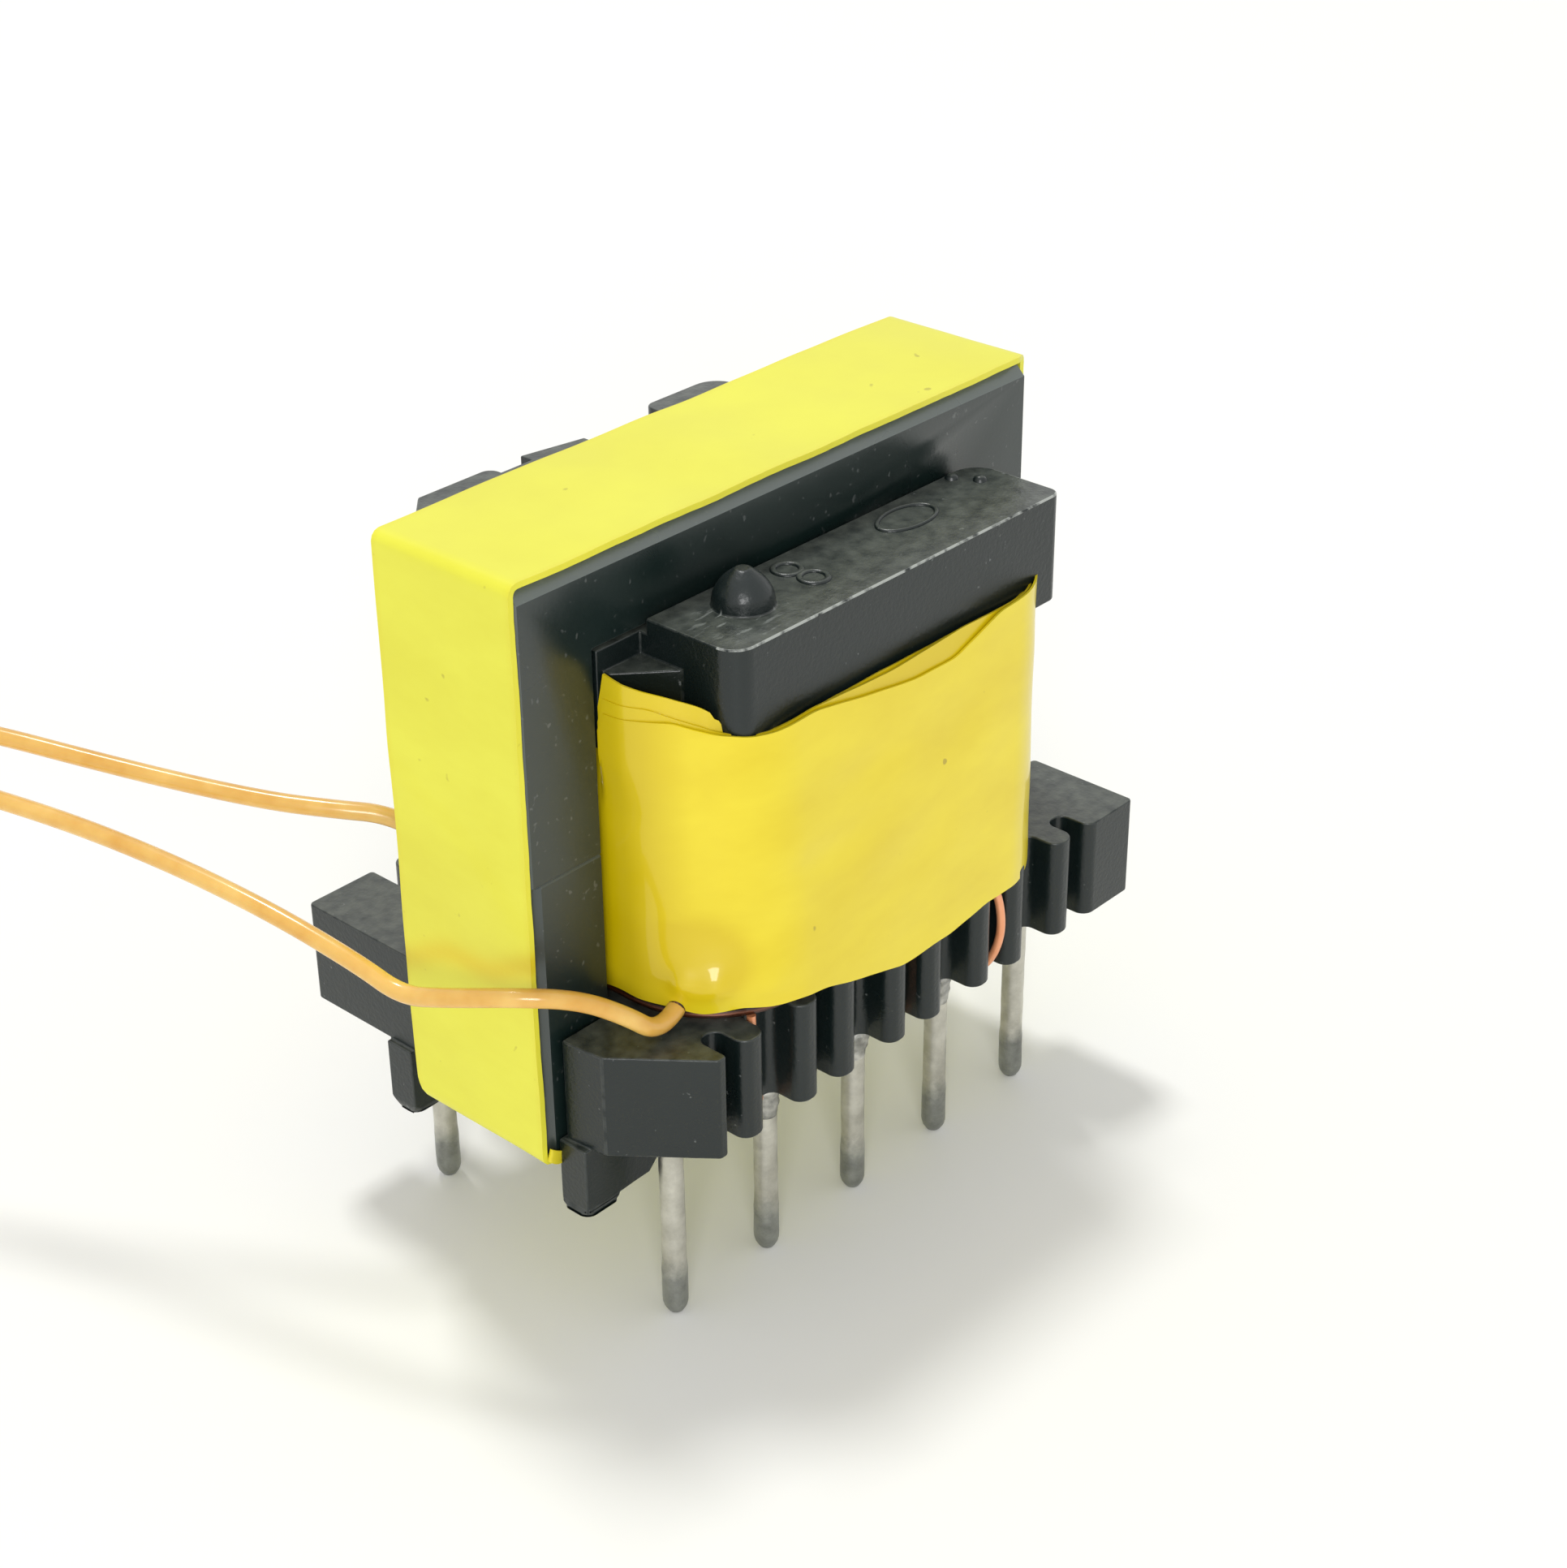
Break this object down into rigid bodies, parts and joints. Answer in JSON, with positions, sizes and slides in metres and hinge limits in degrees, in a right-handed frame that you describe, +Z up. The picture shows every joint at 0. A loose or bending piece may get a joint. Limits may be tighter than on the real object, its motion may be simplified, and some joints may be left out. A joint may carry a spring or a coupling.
{
  "type": "high frequency transformer",
  "caption": "Upright high frequency transformer with a taped E core, a castellated pin bobbin, a yellow taped winding and two orange fly leads.",
  "frame": {"origin": "centre of the pin pattern, in the plane of the pin tips", "axes": "+X along the pin rows, -Y towards the row of pins 1 to 5, +Z up along the pins towards the core's top"},
  "size_m": [0.031, 0.0371, 0.0217],
  "materials": {
    "phenolic": "black glass filled phenolic, satin as moulded",
    "ferrite": "dark grey ground ferrite",
    "polyester_tape": "yellow polyester film tape",
    "enamelled_copper": "enamelled copper wire",
    "insulated_wire": "orange triple insulated wire",
    "tinned_copper": "tinned copper",
    "tinned_steel": "dull tin plate on steel wire",
    "solder": "solder"
  },
  "bodies": {
    "root": {"bobbin": "phenolic", "core_lower": "ferrite", "core_upper": "ferrite", "core_tape": "polyester_tape", "primary_winding": "enamelled_copper", "inner_insulation_tape": "polyester_tape", "auxiliary_winding": "enamelled_copper", "middle_insulation_tape": "polyester_tape", "secondary_winding": "insulated_wire", "outer_winding_tape": "polyester_tape", "fly_lead_front": "insulated_wire", "fly_lead_back": "insulated_wire", "fly_lead_tip_front": "tinned_copper", "fly_lead_tip_back": "tinned_copper", "pin_1": "tinned_steel", "pin_2": "tinned_steel", "pin_3": "tinned_steel", "pin_4": "tinned_steel", "pin_5": "tinned_steel", "pin_6": "tinned_steel", "pin_7": "tinned_steel", "pin_8": "tinned_steel", "pin_9": "tinned_steel", "pin_10": "tinned_steel", "lead_out_2": "enamelled_copper", "solder_joint_2": "solder", "lead_out_3": "enamelled_copper", "solder_joint_3": "solder", "lead_out_4": "enamelled_copper", "solder_joint_4": "solder", "lead_out_8": "enamelled_copper", "solder_joint_8": "solder"}
  },
  "joints": []
}
